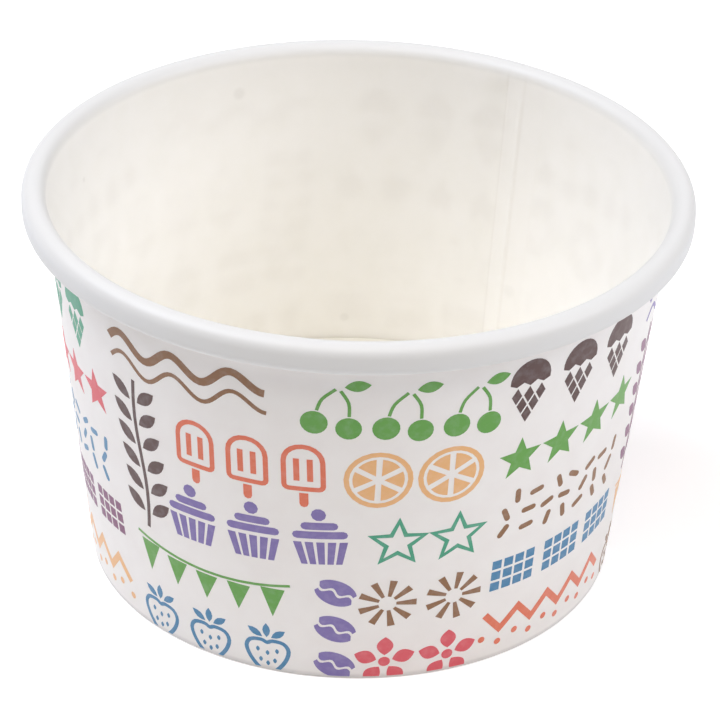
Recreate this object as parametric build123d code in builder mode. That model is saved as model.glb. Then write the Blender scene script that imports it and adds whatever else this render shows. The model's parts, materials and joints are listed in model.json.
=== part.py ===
from build123d import *
import os
from math import acos, atan2, cos, degrees, hypot, radians, sin

# A paper ice cream cup. One printed board blank is wrapped to a cone, lapped and sealed at a
# side seam, rolled outwards at the top and hemmed inwards at the foot round the skirt of a
# drawn bottom disc. The axis of the cup is Z and the foot stands on Z = 0.

# Whole cup, in millimetres
rim_diameter = 96.0  # outside of the rolled rim
cup_height = 59.4  # table to the top of the rim
base_diameter = 77.0  # outside of the wall, drawn on down to the table

# Sidewall board and its rolled rim
wall_sheet = 0.35  # caliper of the coated board
bead_width = 3.5  # inside of the wall to the outside of the roll
bead_height = 4.6
tuck_length = 1.2  # end of the roll that lies up against the wall, inside the roll
tuck_gap = 0.02

# Side seam, seen inside as the end of the inner layer and outside as the end of the outer one
seam_azimuth = 60.0  # degrees from +X, where the inner layer ends
lap_width = 6.5  # sealed overlap
climb_dive = 0.04  # how far the flat climb starts below the outside of the wall
edge_web = 0.05  # board left behind the inner edge where the roll hides the outer layer

# Bottom disc
floor_sheet = 0.3  # caliper of the disc board
floor_height = 11.3  # table to the top of the floor
floor_corner = 0.8  # inside radius where the floor is drawn down into its skirt
glue_line = 0.02  # film between the skirt and the layers on its two sides
skirt_clearance = 0.15  # skirt edge to the inside of the hem fold

# Foot hem
hem_height = 8.0  # table to the free edge of the hem
fold_inside = 0.03  # inside radius of the pressed fold

# Room by which a cutting body passes the face that it opens
overrun = 1.0

# Middle line of the rolled rim: the wall runs tangent into the crest of the roll
half_sheet = wall_sheet / 2
crest_radius = (bead_width - wall_sheet) / 2
crest_centre = Vector((rim_diameter - bead_width) / 2, cup_height - bead_width / 2)

# Taper that takes the wall from the crest of the roll down to the base diameter
inset = crest_centre.X - base_diameter / 2
taper = acos((crest_radius - half_sheet) / hypot(inset, crest_centre.Y)) - atan2(crest_centre.Y, inset)
taper_deg = degrees(taper)
wall_up = Vector(sin(taper), cos(taper))
wall_out = Vector(cos(taper), -sin(taper))
wall_top = crest_centre - wall_out * crest_radius

# Lower turn of the roll, which brings the board back to the outside of its own wall
roll_depth = bead_height - (bead_width + wall_sheet) / 2
under_room = crest_radius * (1 + cos(taper)) - wall_sheet - tuck_gap + roll_depth * sin(taper)
under_radius = under_room / (1 + cos(taper) + sin(taper))
flank_length = roll_depth - under_radius
bead_foot = cup_height - bead_height

# Layers at the foot, counted inwards from the middle of the wall
skirt_offset = half_sheet + glue_line + floor_sheet / 2
hem_offset = wall_sheet + floor_sheet + 2 * glue_line
fold_radius = fold_inside + half_sheet
foot_width = (hem_offset - 2 * fold_radius) / cos(taper)
fold_top = half_sheet + fold_radius * (1 - sin(taper))

# Middle line of the disc's corner
corner_radius = floor_corner + floor_sheet / 2
floor_middle = floor_height - floor_sheet / 2
skirt_top = floor_middle - corner_radius - (corner_radius + skirt_offset) * sin(taper)


def wall_at(height, offset=0):
    """Point of the wall's middle line at a height, moved out of it square to the board."""
    along = (height - wall_top.Y) / cos(taper)
    return wall_top + wall_up * along + wall_out * offset


def layer(low, high, inner, outer):
    """Corners of a layer that follows the wall, between two heights and two offsets."""
    return [wall_at(low, inner), wall_at(high, inner), wall_at(high, outer), wall_at(low, outer)]


def radial_plane(azimuth):
    """Upright plane through the cup's axis: its x runs out at an azimuth and its y runs up."""
    turn = radians(azimuth)
    return Plane(origin=(0, 0, 0), x_dir=(cos(turn), sin(turn), 0), z_dir=(sin(turn), -cos(turn), 0))


# Beyond the seam the outer layer leaves the cone in a flat stretch that climbs one board's
# thickness, and the plane of its outer face is a tangent plane of the wall, sunk a little
seam_middle = cup_height / 2
climb_radius = wall_at(seam_middle, half_sheet).X
lap_angle = degrees(lap_width / climb_radius)
climb_angle = degrees(acos((climb_radius - climb_dive) / (climb_radius + wall_sheet)))
climb_section = radial_plane(seam_azimuth + climb_angle)
climb_face = Plane(
    origin=climb_section.from_local_coords(wall_at(seam_middle, half_sheet - climb_dive)),
    z_dir=climb_section.from_local_coords(wall_out),
)

# Outer layer of the lap, from its free edge to where the climb runs into the wall
with BuildPart() as lap_layer:
    with BuildSketch(radial_plane(seam_azimuth - lap_angle)):
        Polygon(*layer(fold_top, bead_foot, 0, half_sheet + wall_sheet), align=None)
    revolve(axis=Axis.Z, revolution_arc=lap_angle + climb_angle)
    split(bisect_by=climb_face, keep=Keep.BOTTOM)

# Hollow inside the climb, which leaves the free edge of the inner layer standing
with BuildPart() as climb_hollow:
    with BuildSketch(radial_plane(seam_azimuth)):
        Polygon(*layer(skirt_top, wall_top.Y, -half_sheet - overrun, half_sheet - edge_web), align=None)
    revolve(axis=Axis.Z, revolution_arc=climb_angle)
    split(bisect_by=climb_face.offset(-wall_sheet), keep=Keep.BOTTOM)

# Sidewall: the section of the board from the hem, round the foot, up the wall and round the roll
with BuildPart() as sidewall:
    with BuildSketch(Plane.XZ):
        with BuildLine():
            wall = Line(wall_at(fold_top), wall_top)
            crest = JernArc(wall @ 1, wall % 1, crest_radius, taper_deg - 180)
            flank = PolarLine(crest @ 1, flank_length, direction=crest % 1)
            under = JernArc(flank @ 1, flank % 1, under_radius, -180 - taper_deg)
            PolarLine(under @ 1, tuck_length, direction=under % 1)
            toe = JernArc(wall @ 0, -(wall % 0), fold_radius, taper_deg - 90)
            foot = PolarLine(toe @ 1, foot_width, direction=toe % 1)
            heel = JernArc(foot @ 1, foot % 1, fold_radius, -90 - taper_deg)
            Line(heel @ 1, wall_at(hem_height, -hem_offset))
        trace(line_width=wall_sheet)
    revolve(axis=Axis.Z)
    add(lap_layer.part)
    add(climb_hollow.part, mode=Mode.SUBTRACT)

# Bottom disc: a floor drawn down at its edge into a skirt that follows the wall
with BuildPart() as bottom_disc:
    with BuildSketch(Plane.XZ):
        with BuildLine():
            skirt_foot = wall_at(wall_sheet + skirt_clearance, -skirt_offset)
            skirt = Line(skirt_foot, wall_at(skirt_top, -skirt_offset))
            corner = JernArc(skirt @ 1, skirt % 1, corner_radius, 90 + taper_deg)
            Line(corner @ 1, (0, floor_middle))
        trace(line_width=floor_sheet)
    revolve(axis=Axis.Z)

os.makedirs("parts", exist_ok=True)

sidewall.part.label = "sidewall"
export_step(sidewall.part, "parts/sidewall.step")

bottom_disc.part.label = "bottom_disc"
export_step(bottom_disc.part, "parts/bottom_disc.step")

for piece in (sidewall, bottom_disc):
    size = piece.part.bounding_box().size
    print(piece.part.label, "volume", round(piece.part.volume, 1), "size", size)
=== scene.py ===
# %% [markdown]
# # A paper ice cream cup
# The real cup is two pieces of coated paperboard. A fan-shaped printed blank is wrapped to a
# cone, lapped at a side seam, rolled outwards at the rim and hemmed inwards at the foot, and the
# hem clamps the skirt of a drawn bottom disc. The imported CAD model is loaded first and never
# moved: its box says how large every piece of this scene may be.

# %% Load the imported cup
import json
import math
import random
import bmesh
import bpy
from mathutils import Matrix, Vector

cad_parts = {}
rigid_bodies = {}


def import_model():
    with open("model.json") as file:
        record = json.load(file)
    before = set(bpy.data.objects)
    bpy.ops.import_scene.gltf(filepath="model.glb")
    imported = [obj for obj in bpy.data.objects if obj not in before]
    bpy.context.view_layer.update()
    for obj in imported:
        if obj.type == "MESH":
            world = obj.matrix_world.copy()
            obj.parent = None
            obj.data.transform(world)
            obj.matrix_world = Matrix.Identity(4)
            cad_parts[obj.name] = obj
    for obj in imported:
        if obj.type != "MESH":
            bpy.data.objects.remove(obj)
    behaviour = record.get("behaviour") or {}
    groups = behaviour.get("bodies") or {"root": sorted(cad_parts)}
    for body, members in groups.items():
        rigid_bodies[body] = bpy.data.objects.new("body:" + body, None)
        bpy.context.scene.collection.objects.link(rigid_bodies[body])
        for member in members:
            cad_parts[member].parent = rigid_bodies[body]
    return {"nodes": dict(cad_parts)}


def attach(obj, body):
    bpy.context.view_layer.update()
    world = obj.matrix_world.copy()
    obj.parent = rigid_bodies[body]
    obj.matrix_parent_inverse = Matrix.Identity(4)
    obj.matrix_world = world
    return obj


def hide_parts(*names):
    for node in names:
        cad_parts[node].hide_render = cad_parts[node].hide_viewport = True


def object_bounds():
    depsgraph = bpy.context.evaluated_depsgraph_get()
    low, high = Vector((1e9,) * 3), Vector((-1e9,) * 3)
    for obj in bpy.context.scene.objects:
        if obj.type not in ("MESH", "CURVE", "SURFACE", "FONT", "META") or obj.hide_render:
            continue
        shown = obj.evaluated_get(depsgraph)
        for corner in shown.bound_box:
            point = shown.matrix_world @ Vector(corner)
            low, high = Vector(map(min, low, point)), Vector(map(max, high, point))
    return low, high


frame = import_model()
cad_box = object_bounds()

MM = 0.001
rim_radius = cad_box[1].y / MM
cup_height = cad_box[1].z / MM
print("nodes", sorted(frame["nodes"]), "rim radius", round(rim_radius, 2), "height", round(cup_height, 2))

# %% [markdown]
# ## The camera
# The photograph was taken with a long lens from 30 degrees above the table, and the cup leans a
# little to the right in the frame. A perspective camera was fitted to the outlines of the rim
# and the foot, so the camera is written as that fit: how far away it stands, how high it looks
# down, the point it looks at and its roll.

# %% Aim the camera
def place(name, data):
    """New object for this data, linked into the scene."""
    made = bpy.data.objects.new(name, data)
    bpy.context.collection.objects.link(made)
    return made


camera_distance = 522.85
camera_elevation = math.radians(30.3445)
camera_roll = math.radians(1.6325)
camera_aim = Vector((0.826, 0, 29.74))
lens_length, sensor_width = 178.4, 36

camera_data = bpy.data.cameras.new("camera")
camera_data.lens = lens_length
camera_data.sensor_width = sensor_width
camera = place("camera", camera_data)
towards_camera = Vector((0, -math.cos(camera_elevation), math.sin(camera_elevation)))
look = (-towards_camera).to_track_quat("-Z", "Y").to_matrix().to_4x4()
stand = Matrix.Translation((camera_aim + towards_camera * camera_distance) * MM)
camera.matrix_world = stand @ look @ Matrix.Rotation(camera_roll, 4, "Z")
bpy.context.scene.camera = camera
print("camera at", [round(c, 4) for c in stand.translation])

# %% [markdown]
# ## One helper for all nodes
# Materials and Geometry Nodes are both trees of nodes. One small function adds a node, sets its
# properties and fills its inputs from values or from other nodes, so every tree below reads as a
# list of steps. Colours are written as sRGB hex and turned to the linear values Blender works in.

# %% Node and colour helpers
def add(tree, kind, inputs=None, **settings):
    """Add a node with its settings, and fill its inputs from values, sockets or nodes."""
    node = tree.nodes.new(kind)
    for name, value in settings.items():
        setattr(node, name, value)
    for name, value in (inputs or {}).items():
        if isinstance(value, bpy.types.Node):
            value = value.outputs[0]
        if isinstance(value, bpy.types.NodeSocket):
            tree.links.new(value, node.inputs[name])
        else:
            node.inputs[name].default_value = value
    return node


def linear(hex_colour):
    """Linear RGBA of an sRGB hex colour."""
    channels = [int(hex_colour[i:i + 2], 16) / 255 for i in (1, 3, 5)]
    return [c / 12.92 if c <= 0.04045 else ((c + 0.055) / 1.055) ** 2.4 for c in channels] + [1]


print("white board is", [round(c, 3) for c in linear("#F2F0EE")])

# %% [markdown]
# ## The section of the wrapped board
# Cut the cup through its axis and the board shows as one thin line: down the hem, round the
# pressed foot, up the wall, over the crest of the roll and back under it to the wall. A pen that
# runs and bends draws that line with the sizes of the CAD model, and puts points only where the
# line bends or where the finish needs them.

# %% Sizes of the board, as in the CAD model
sheet = 0.35
bead_width, bead_height = 3.5, 4.6
base_radius = 38.5
floor_sheet, floor_height, floor_corner = 0.30, 11.3, 0.8
glue_line = 0.02
hem_height, fold_inside = 8.0, 0.03
skirt_clearance = 0.15
tuck_length, tuck_gap = 1.2, 0.02
quarter = math.pi / 2

crest_radius = (bead_width - sheet) / 2
crest_centre = Vector((rim_radius - bead_width / 2, cup_height - bead_width / 2))
inset = crest_centre.x - base_radius
reach = math.hypot(inset, crest_centre.y)
taper = math.acos((crest_radius - sheet / 2) / reach) - math.atan2(crest_centre.y, inset)
wall_up = Vector((math.sin(taper), math.cos(taper)))
wall_out = Vector((math.cos(taper), -math.sin(taper)))
wall_top = crest_centre - wall_out * crest_radius
roll_depth = bead_height - (bead_width + sheet) / 2
under_room = crest_radius * (1 + math.cos(taper)) - sheet - tuck_gap + roll_depth * math.sin(taper)
under_radius = under_room / (1 + math.cos(taper) + math.sin(taper))
hem_offset = sheet + floor_sheet + 2 * glue_line
fold_radius = fold_inside + sheet / 2
foot_width = (hem_offset - 2 * fold_radius) / math.cos(taper)
fold_top = sheet / 2 + fold_radius * (1 - math.sin(taper))
print("taper", round(math.degrees(taper), 3), "degrees")
print("the roll turns at", round(crest_radius, 3), "and", round(under_radius, 3), "mm")

# %% Draw the section of the sidewall
def wall_at(height, offset=0):
    """Point of the wall's middle line at a height, moved out of it square to the board."""
    return wall_top + wall_up * ((height - wall_top.y) / math.cos(taper)) + wall_out * offset


class Pen:
    """Draws a section as points, by straight runs and by bends to the left (+) or right (-)."""

    def __init__(self, start, heading):
        self.points = [Vector(start)]
        self.heading = heading
        self.length = 0

    def run(self, length, steps=1):
        step = Vector((math.cos(self.heading), math.sin(self.heading))) * (length / steps)
        for _ in range(steps):
            self.points.append(self.points[-1] + step)
        self.length += length

    def bend(self, radius, turn, steps):
        side = math.copysign(radius, turn)
        to_centre = Vector((-math.sin(self.heading), math.cos(self.heading))) * side
        centre = self.points[-1] + to_centre
        for i in range(1, steps + 1):
            self.points.append(centre + Matrix.Rotation(turn * i / steps, 2) @ -to_centre)
        self.heading += turn
        self.length += radius * abs(turn)


foot_pen = Pen(wall_at(fold_top), -quarter - taper)
foot_pen.bend(fold_radius, taper - quarter, 5)
foot_pen.run(foot_width)
foot_pen.bend(fold_radius, -quarter - taper, 5)
hem_start = foot_pen.length
foot_pen.run((wall_at(hem_height, -hem_offset) - foot_pen.points[-1]).length, 8)
wall_start = foot_pen.length
hem_end = wall_start - hem_start

# The wall has rows where the lap starts and where the painted shade along the fold of the foot ends
lap_foot, foot_shade_top = 0.1, 0.8
wall_pen = Pen(wall_at(fold_top), quarter - taper)
wall_pen.run(lap_foot)
wall_pen.run(foot_shade_top - lap_foot)
wall_pen.run((wall_top - wall_pen.points[-1]).length, 47)
wall_length = wall_pen.length
wall_pen.bend(crest_radius, taper - quarter, 8)
wall_pen.bend(crest_radius, -quarter, 8)
wall_pen.run(roll_depth - under_radius)
wall_pen.bend(under_radius, -quarter, 6)
wall_pen.bend(under_radius, -quarter - taper, 6)
wall_pen.run(tuck_length, 2)
sidewall_section = foot_pen.points[::-1] + wall_pen.points[1:]
print("section rows", len(sidewall_section), "wall", round(wall_length, 2), "mm up the slant")

# %% [markdown]
# ## How the board is wound
# Seen from above, the board starts at the inner edge of the seam, goes once round the cup, then
# climbs by its own thickness over that edge and ends a lap further on. The winding is a row of
# points too: each gives an azimuth, how far the board has climbed (in thicknesses) and whether it
# is the lapped layer. Points lie close together near the seam, where the pressed lap also leaves
# faint ridges on the inside, and further apart elsewhere.

# %% Wind the sidewall and the bottom disc
seam_azimuth = 60.0
lap_turn = 8.9
climb_turn = 7.8
lap_gap = 0.01
fine_zone, fine_step, coarse_step = 12.5, 0.25, 1.25
# Degrees past the inner edge, half width in degrees and depth in thicknesses of the pressed ridges
press_ridges = ((0.5, 0.40, 0.12), (3.2, 0.45, 0.20), (8.3, 0.80, 0.14))


def steps_between(start, end, step):
    """Evenly spaced values from start up to, but without, end."""
    count = round((end - start) / step)
    return [start + (end - start) * i / count for i in range(count)]


def climb_at(travel):
    """Climb of the board in thicknesses after it has gone round by this many degrees."""
    share = min(max((travel - 360 + climb_turn) / climb_turn, 0), 1)
    pressed = sum(depth * math.exp(-((travel - at) / width) ** 2) for at, width, depth in press_ridges)
    return share ** 2 * (3 - 2 * share) * (1 + lap_gap / sheet) - pressed


travels = steps_between(0, fine_zone, fine_step)
travels += steps_between(fine_zone, 360 - fine_zone, coarse_step)
travels += steps_between(360 - fine_zone, 360, fine_step)
travels += steps_between(360, 360 + lap_turn, fine_step) + [360 + lap_turn]
sidewall_winding = [(math.radians(seam_azimuth - t), climb_at(t), float(t >= 360)) for t in travels]
disc_winding = [(math.radians(-t), 0, 0) for t in steps_between(0, 360, coarse_step) + [360]]
print("columns: sidewall", len(sidewall_winding), "disc", len(disc_winding))

# %% [markdown]
# ## A tree that winds a sheet
# Both pieces of board follow one rule: a section swept along a winding, with the thickness of the
# sheet to each side of its middle line. Spinning a profile would do for a plain ring, but it can't
# climb over its own edge, so a Geometry Nodes tree lays a flat grid instead, and looks up for each
# of its points which row of the section and which column of the winding it belongs to. The sheet
# is then extruded, so it is a closed body with an outside, an inside and a cut edge.

# %% Helpers that start a tree, close a sheet and use a tree on a piece
weld = 0.002 * MM


def start_tree(name, sockets):
    """New Geometry Nodes tree with named inputs; returns it and the sockets of its inputs."""
    tree = bpy.data.node_groups.new(name, "GeometryNodeTree")
    for socket, kind in sockets.items():
        tree.interface.new_socket(socket, in_out="INPUT", socket_type="NodeSocket" + kind)
    tree.interface.new_socket("Geometry", in_out="OUTPUT", socket_type="NodeSocketGeometry")
    return tree, tree.nodes.new("NodeGroupInput").outputs


def thicken(tree, top, under, normal, thickness):
    """Closed body with its top pulled out along the normal; returns it and its marked sides."""
    pulled = {"Mesh": top, "Offset Scale": 0.0, "Individual": False}
    pulled = add(tree, "GeometryNodeExtrudeMesh", pulled)
    out = add(tree, "ShaderNodeVectorMath", {0: normal, "Scale": thickness}, operation="SCALE")
    shell = {"Geometry": pulled, "Selection": pulled.outputs["Top"], "Offset": out}
    shell = add(tree, "GeometryNodeSetPosition", shell)
    joined = add(tree, "GeometryNodeJoinGeometry")
    for skin in (shell, under):
        tree.links.new(skin.outputs[0], joined.inputs[0])
    closed = add(tree, "GeometryNodeMergeByDistance", {"Geometry": joined, "Distance": weld})
    return closed, pulled.outputs


def apply_tree(piece, tree, values):
    """Run a tree on a piece with these inputs, and keep the result as its plain mesh."""
    modifier = piece.modifiers.new(tree.name, "NODES")
    modifier.node_group = tree
    for item in tree.interface.items_tree:
        if item.in_out == "INPUT" and item.name in values:
            modifier[item.identifier] = values[item.name]
    depsgraph = bpy.context.evaluated_depsgraph_get()
    evaluated = piece.evaluated_get(depsgraph)
    made = bpy.data.meshes.new_from_object(evaluated, preserve_all_data_layers=True, depsgraph=depsgraph)
    piece.modifiers.clear()
    piece.data, old = made, piece.data
    bpy.data.meshes.remove(old)
    made.name = piece.name
    return made


def line_object(name, points):
    """Object that holds a row of points joined by edges."""
    mesh = bpy.data.meshes.new(name)
    mesh.from_pydata(points, [(i, i + 1) for i in range(len(points) - 1)], [])
    return place(name, mesh)


print("tree helpers ready, points closer than", weld / MM, "mm are welded")

# %% Look up the section and the winding
wind, given = start_tree("wind_sheet", {
    "Section": "Geometry", "Winding": "Object", "Sheet": "Float",
    "Lap Starts": "Float", "Lap Ends": "Float", "Lap Fade": "Float",
    "Ridge Depth": "Float", "Ridge Count": "Float", "Ridge Starts": "Float", "Ridge Ends": "Float",
    "Outside": "Material", "Inside": "Material", "Edge": "Material",
})
section = add(wind, "GeometryNodeMeshToCurve", {"Mesh": given["Section"]})
winding = add(wind, "GeometryNodeObjectInfo", {"Object": given["Winding"]}).outputs["Geometry"]
row_count = add(wind, "GeometryNodeAttributeDomainSize", {0: section}, component="CURVE")
column_count = add(wind, "GeometryNodeAttributeDomainSize", {0: winding}, component="MESH")
rows, columns = row_count.outputs["Point Count"], column_count.outputs["Point Count"]
grid = add(wind, "GeometryNodeMeshGrid", {"Vertices X": columns, "Vertices Y": rows})
index = add(wind, "GeometryNodeInputIndex")
row = add(wind, "FunctionNodeIntegerMath", {0: index, 1: rows}, operation="MODULO")
column = add(wind, "FunctionNodeIntegerMath", {0: index, 1: rows}, operation="DIVIDE_FLOOR")

position = add(wind, "GeometryNodeInputPosition")
tangent = add(wind, "GeometryNodeInputTangent")
travelled = add(wind, "GeometryNodeSplineParameter").outputs["Length"]
looked_up = {}
for name, source, value, at, kind in (
    ("place", section, position, row, "FLOAT_VECTOR"), ("heading", section, tangent, row, "FLOAT_VECTOR"),
    ("slant", section, travelled, row, "FLOAT"), ("turn", winding, position, column, "FLOAT_VECTOR"),
):
    wanted = {"Geometry": source, "Value": value, "Index": at}
    looked_up[name] = add(wind, "GeometryNodeSampleIndex", wanted, data_type=kind, domain="POINT")
slant = looked_up["slant"]
turn = add(wind, "ShaderNodeSeparateXYZ", {0: looked_up["turn"]}).outputs
azimuth, climb, lapped = turn["X"], turn["Y"], turn["Z"]

# The printed side lies to the right of the heading, as seen when the section is drawn
heading = add(wind, "ShaderNodeSeparateXYZ", {0: looked_up["heading"]}).outputs
leftwards = add(wind, "ShaderNodeMath", {0: heading["X"], 1: -1.0}, operation="MULTIPLY")
outwards = add(wind, "ShaderNodeCombineXYZ", {"X": heading["Z"], "Z": leftwards})
print("winding tree looks up", sorted(looked_up))

# %% Climb over the lap and press the ridges
for limit, beyond in (("Lap Starts", "SUBTRACT"), ("Lap Ends", "ADD")):
    clear = add(wind, "ShaderNodeMath", {0: given[limit], 1: given["Lap Fade"]}, operation=beyond)
    fade = {"Value": slant, "From Min": clear, "From Max": given[limit]}
    fade = add(wind, "ShaderNodeMapRange", fade, interpolation_type="SMOOTHSTEP")
    climb = add(wind, "ShaderNodeMath", {0: climb, 1: fade}, operation="MULTIPLY")
from_middle = add(wind, "ShaderNodeMath", {0: climb, 1: 0.5}, operation="SUBTRACT")
offset = add(wind, "ShaderNodeMath", {0: from_middle, 1: given["Sheet"]}, operation="MULTIPLY")

ridge_angle = add(wind, "ShaderNodeMath", {0: azimuth, 1: given["Ridge Count"]}, operation="MULTIPLY")
ridge_wave = add(wind, "ShaderNodeMath", {0: ridge_angle}, operation="COSINE")
ridge = add(wind, "ShaderNodeMapRange", {"Value": ridge_wave, "From Min": 1.0, "From Max": -1.0})
for limit, test in (("Ridge Starts", "GREATER_THAN"), ("Ridge Ends", "LESS_THAN")):
    within = add(wind, "ShaderNodeMath", {0: slant, 1: given[limit]}, operation=test)
    ridge = add(wind, "ShaderNodeMath", {0: ridge, 1: within}, operation="MULTIPLY")
raised = {0: ridge, 1: given["Ridge Depth"], 2: offset}
offset = add(wind, "ShaderNodeMath", raised, operation="MULTIPLY_ADD")
print("winding tree has", len(wind.nodes), "nodes so far")

# %% Place the sheet and trim its lap
in_section = add(wind, "ShaderNodeVectorMath", {0: outwards, "Scale": offset}, operation="SCALE")
in_section = add(wind, "ShaderNodeVectorMath", {0: looked_up["place"], 1: in_section}, operation="ADD")
on_cup = {"Vector": in_section, "Angle": azimuth}
on_cup = add(wind, "ShaderNodeVectorRotate", on_cup, rotation_type="Z_AXIS")
faces_out = {"Vector": outwards, "Angle": azimuth}
faces_out = add(wind, "ShaderNodeVectorRotate", faces_out, rotation_type="Z_AXIS")

# The grid keeps these values on its points, because they can't be looked up once faces are gone
stored, kept = grid, {}
for name, value, kind in (
    ("board_normal", faces_out, "FLOAT_VECTOR"), ("board_slant", slant, "FLOAT"),
    ("lapped", lapped, "FLOAT"), ("cup_place", on_cup, "FLOAT_VECTOR"),
):
    keep = {"Geometry": stored, "Name": name, "Value": value}
    stored = add(wind, "GeometryNodeStoreNamedAttribute", keep, data_type=kind, domain="POINT")
    kept[name] = add(wind, "GeometryNodeInputNamedAttribute", {"Name": name}, data_type=kind)

# The lapped layer ends above the foot and inside the roll, where the two layers are pressed to one.
# A face is in the lap when all its corners are, and then the mean of their marks is 1
all_corners = 0.75
in_lap = add(wind, "ShaderNodeMath", {0: kept["lapped"], 1: all_corners}, operation="GREATER_THAN")
low = {0: kept["board_slant"], 1: given["Lap Starts"]}
low = add(wind, "ShaderNodeMath", low, operation="LESS_THAN")
high = {0: kept["board_slant"], 1: given["Lap Ends"]}
high = add(wind, "ShaderNodeMath", high, operation="GREATER_THAN")
out_of_lap = add(wind, "ShaderNodeMath", {0: low, 1: high}, operation="MAXIMUM")
unwanted = add(wind, "ShaderNodeMath", {0: in_lap, 1: out_of_lap}, operation="MULTIPLY")
trimmed = {"Geometry": stored, "Selection": unwanted}
trimmed = add(wind, "GeometryNodeDeleteGeometry", trimmed, domain="FACE")
placed = add(wind, "GeometryNodeSetPosition", {"Geometry": trimmed, "Position": kept["cup_place"]})
inside = add(wind, "GeometryNodeMergeByDistance", {"Geometry": placed, "Distance": weld})
print("sheet keeps", sorted(kept))

# %% Give the sheet its thickness and its materials
turned = add(wind, "GeometryNodeFlipFaces", {0: inside})
closed, sides = thicken(wind, turned, inside, kept["board_normal"], given["Sheet"])

# Soft shading everywhere but along the cut edges
cut_edge_angle = math.radians(40)
crease = add(wind, "GeometryNodeInputMeshEdgeAngle").outputs["Unsigned Angle"]
sharp = add(wind, "ShaderNodeMath", {0: crease, 1: cut_edge_angle}, operation="GREATER_THAN")
smooth = {"Geometry": closed, "Shade Smooth": True}
smooth = add(wind, "GeometryNodeSetShadeSmooth", smooth, domain="FACE")
creased = {"Geometry": smooth, "Selection": sharp, "Shade Smooth": False}
clean = add(wind, "GeometryNodeSetShadeSmooth", creased, domain="EDGE")
for name in ("lapped", "cup_place"):
    clean = add(wind, "GeometryNodeRemoveAttribute", {"Geometry": clean, "Name": name})
real = add(wind, "GeometryNodeRealizeInstances", {"Geometry": clean})
dressed = add(wind, "GeometryNodeSetMaterial", {"Geometry": real, "Material": given["Inside"]})
for faces, material in (("Top", "Outside"), ("Side", "Edge")):
    dressed = {"Geometry": dressed, "Selection": sides[faces], "Material": given[material]}
    dressed = add(wind, "GeometryNodeSetMaterial", dressed)
add(wind, "NodeGroupOutput", {0: dressed})
print("winding tree has", len(wind.nodes), "nodes")

# %% [markdown]
# ## Board, as a material
# Cup board is bleached sulphate paperboard, about a third of a millimetre thick, with a thin film
# of polyethylene on it. The outside is clay coated for print: a clean white with a satin gloss.
# The inside is uncoated under its film and reads as warm cream, because light bounces between the
# warm walls. Close up, both show cloudy fibre clumps a few millimetres wide and a finer fibre
# grain. A cut edge shows the raw core, which is matt and a little darker.

# %% Board materials
clump_width, grain_width, grain_depth = 4.0, 0.6, 0.03
film_ior = 1.5


def start_material(name):
    """Material with an empty tree; returns both."""
    material = bpy.data.materials.new(name)
    material.use_nodes = True
    material.node_tree.nodes.clear()
    return material, material.node_tree


def board_material(name, colour, shade, roughness):
    """Fibrous coated board; returns the material, its shader and the socket of its colour."""
    material, tree = start_material(name)
    where = add(tree, "ShaderNodeTexCoord").outputs["Object"]
    # The clumps have their real width, and the grain is drawn coarser than real fibres so that it shows
    clumps = {"Vector": where, "Scale": 1 / (clump_width * MM), "Detail": 3.0}
    clumps = add(tree, "ShaderNodeTexNoise", clumps)
    grain = {"Vector": where, "Scale": 1 / (grain_width * MM), "Detail": 2.0}
    grain = add(tree, "ShaderNodeTexNoise", grain)
    cloudy = add(tree, "ShaderNodeMapRange", {"Value": clumps, "From Min": 0.35, "From Max": 0.75})
    mix = {"Factor": cloudy, 6: linear(colour), 7: linear(shade)}
    tone = add(tree, "ShaderNodeMix", mix, data_type="RGBA").outputs[2]
    rough = {"Value": grain, "From Min": 0.3, "From Max": 0.7}
    rough.update({"To Min": roughness - 0.05, "To Max": roughness + 0.06})
    rough = add(tree, "ShaderNodeMapRange", rough)
    bump = {"Height": grain, "Strength": 0.12, "Distance": grain_depth * MM}
    bump = add(tree, "ShaderNodeBump", bump)
    wanted = {"Base Color": tone, "Roughness": rough, "Normal": bump, "IOR": film_ior}
    shader = add(tree, "ShaderNodeBsdfPrincipled", wanted)
    add(tree, "ShaderNodeOutputMaterial", {"Surface": shader})
    return material, shader, tone


outside_board, outside_shader, outside_tone = board_material(
    "clay_coated_board", "#F5F2ED", "#F2EEE9", 0.42)
inside_board, inside_shader, inside_tone = board_material(
    "polyethylene_lined_board", "#FAF8F3", "#F8F6F0", 0.45)
disc_board = board_material("polyethylene_lined_disc_board", "#E4E2D8", "#DFDDD1", 0.45)[0]
cut_edge = board_material("raw_cut_board", "#E9E1D2", "#DDD2BE", 0.85)[0]
print("board materials", [m.name for m in (outside_board, inside_board, disc_board, cut_edge)])

# %% [markdown]
# ## What the lining shows
# A few things change the lining's even cream. Along the seam the lining is painted a little darker
# over the lapped band, where two layers let a little less light through than one, with a fine painted
# shadow line at the edge of the inner layer, where its step would cast one, and a fainter painted
# shade line beside it where the lap was pressed. Print shows through as a faint shade, and this cup has
# four small grey spots. Over the roll the lining is painted a cooler, greyer white, as painted shade for
# the cool light that falls there instead of warm light bounced from the walls. Each could be painted on
# an image, but a rule is sharper at any distance: one helper lays a colour over the tone below by a
# value that the material reads, which is the azimuth for the seam, a mark on the mesh for the print and
# the roll, and a distance for a spot.

# %% Finish of the lining
def lay_over(tree, below, hex_colour, value, none, full, strength=1.0):
    """Colour laid over the tone below: none of it at one value, rising to its strength at another."""
    limits = {"Value": value, "From Min": none, "From Max": full, "To Max": strength}
    share = add(tree, "ShaderNodeMapRange", limits, interpolation_type="SMOOTHSTEP")
    mix = {"Factor": share, 6: below, 7: linear(hex_colour)}
    return add(tree, "ShaderNodeMix", mix, data_type="RGBA").outputs[2]


tree = inside_board.node_tree
where = add(tree, "ShaderNodeTexCoord").outputs["Object"]
spot = add(tree, "ShaderNodeSeparateXYZ", {0: where}).outputs
azimuth = add(tree, "ShaderNodeMath", {0: spot["Y"], 1: spot["X"]}, operation="ARCTAN2")
tone = inside_tone
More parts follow.
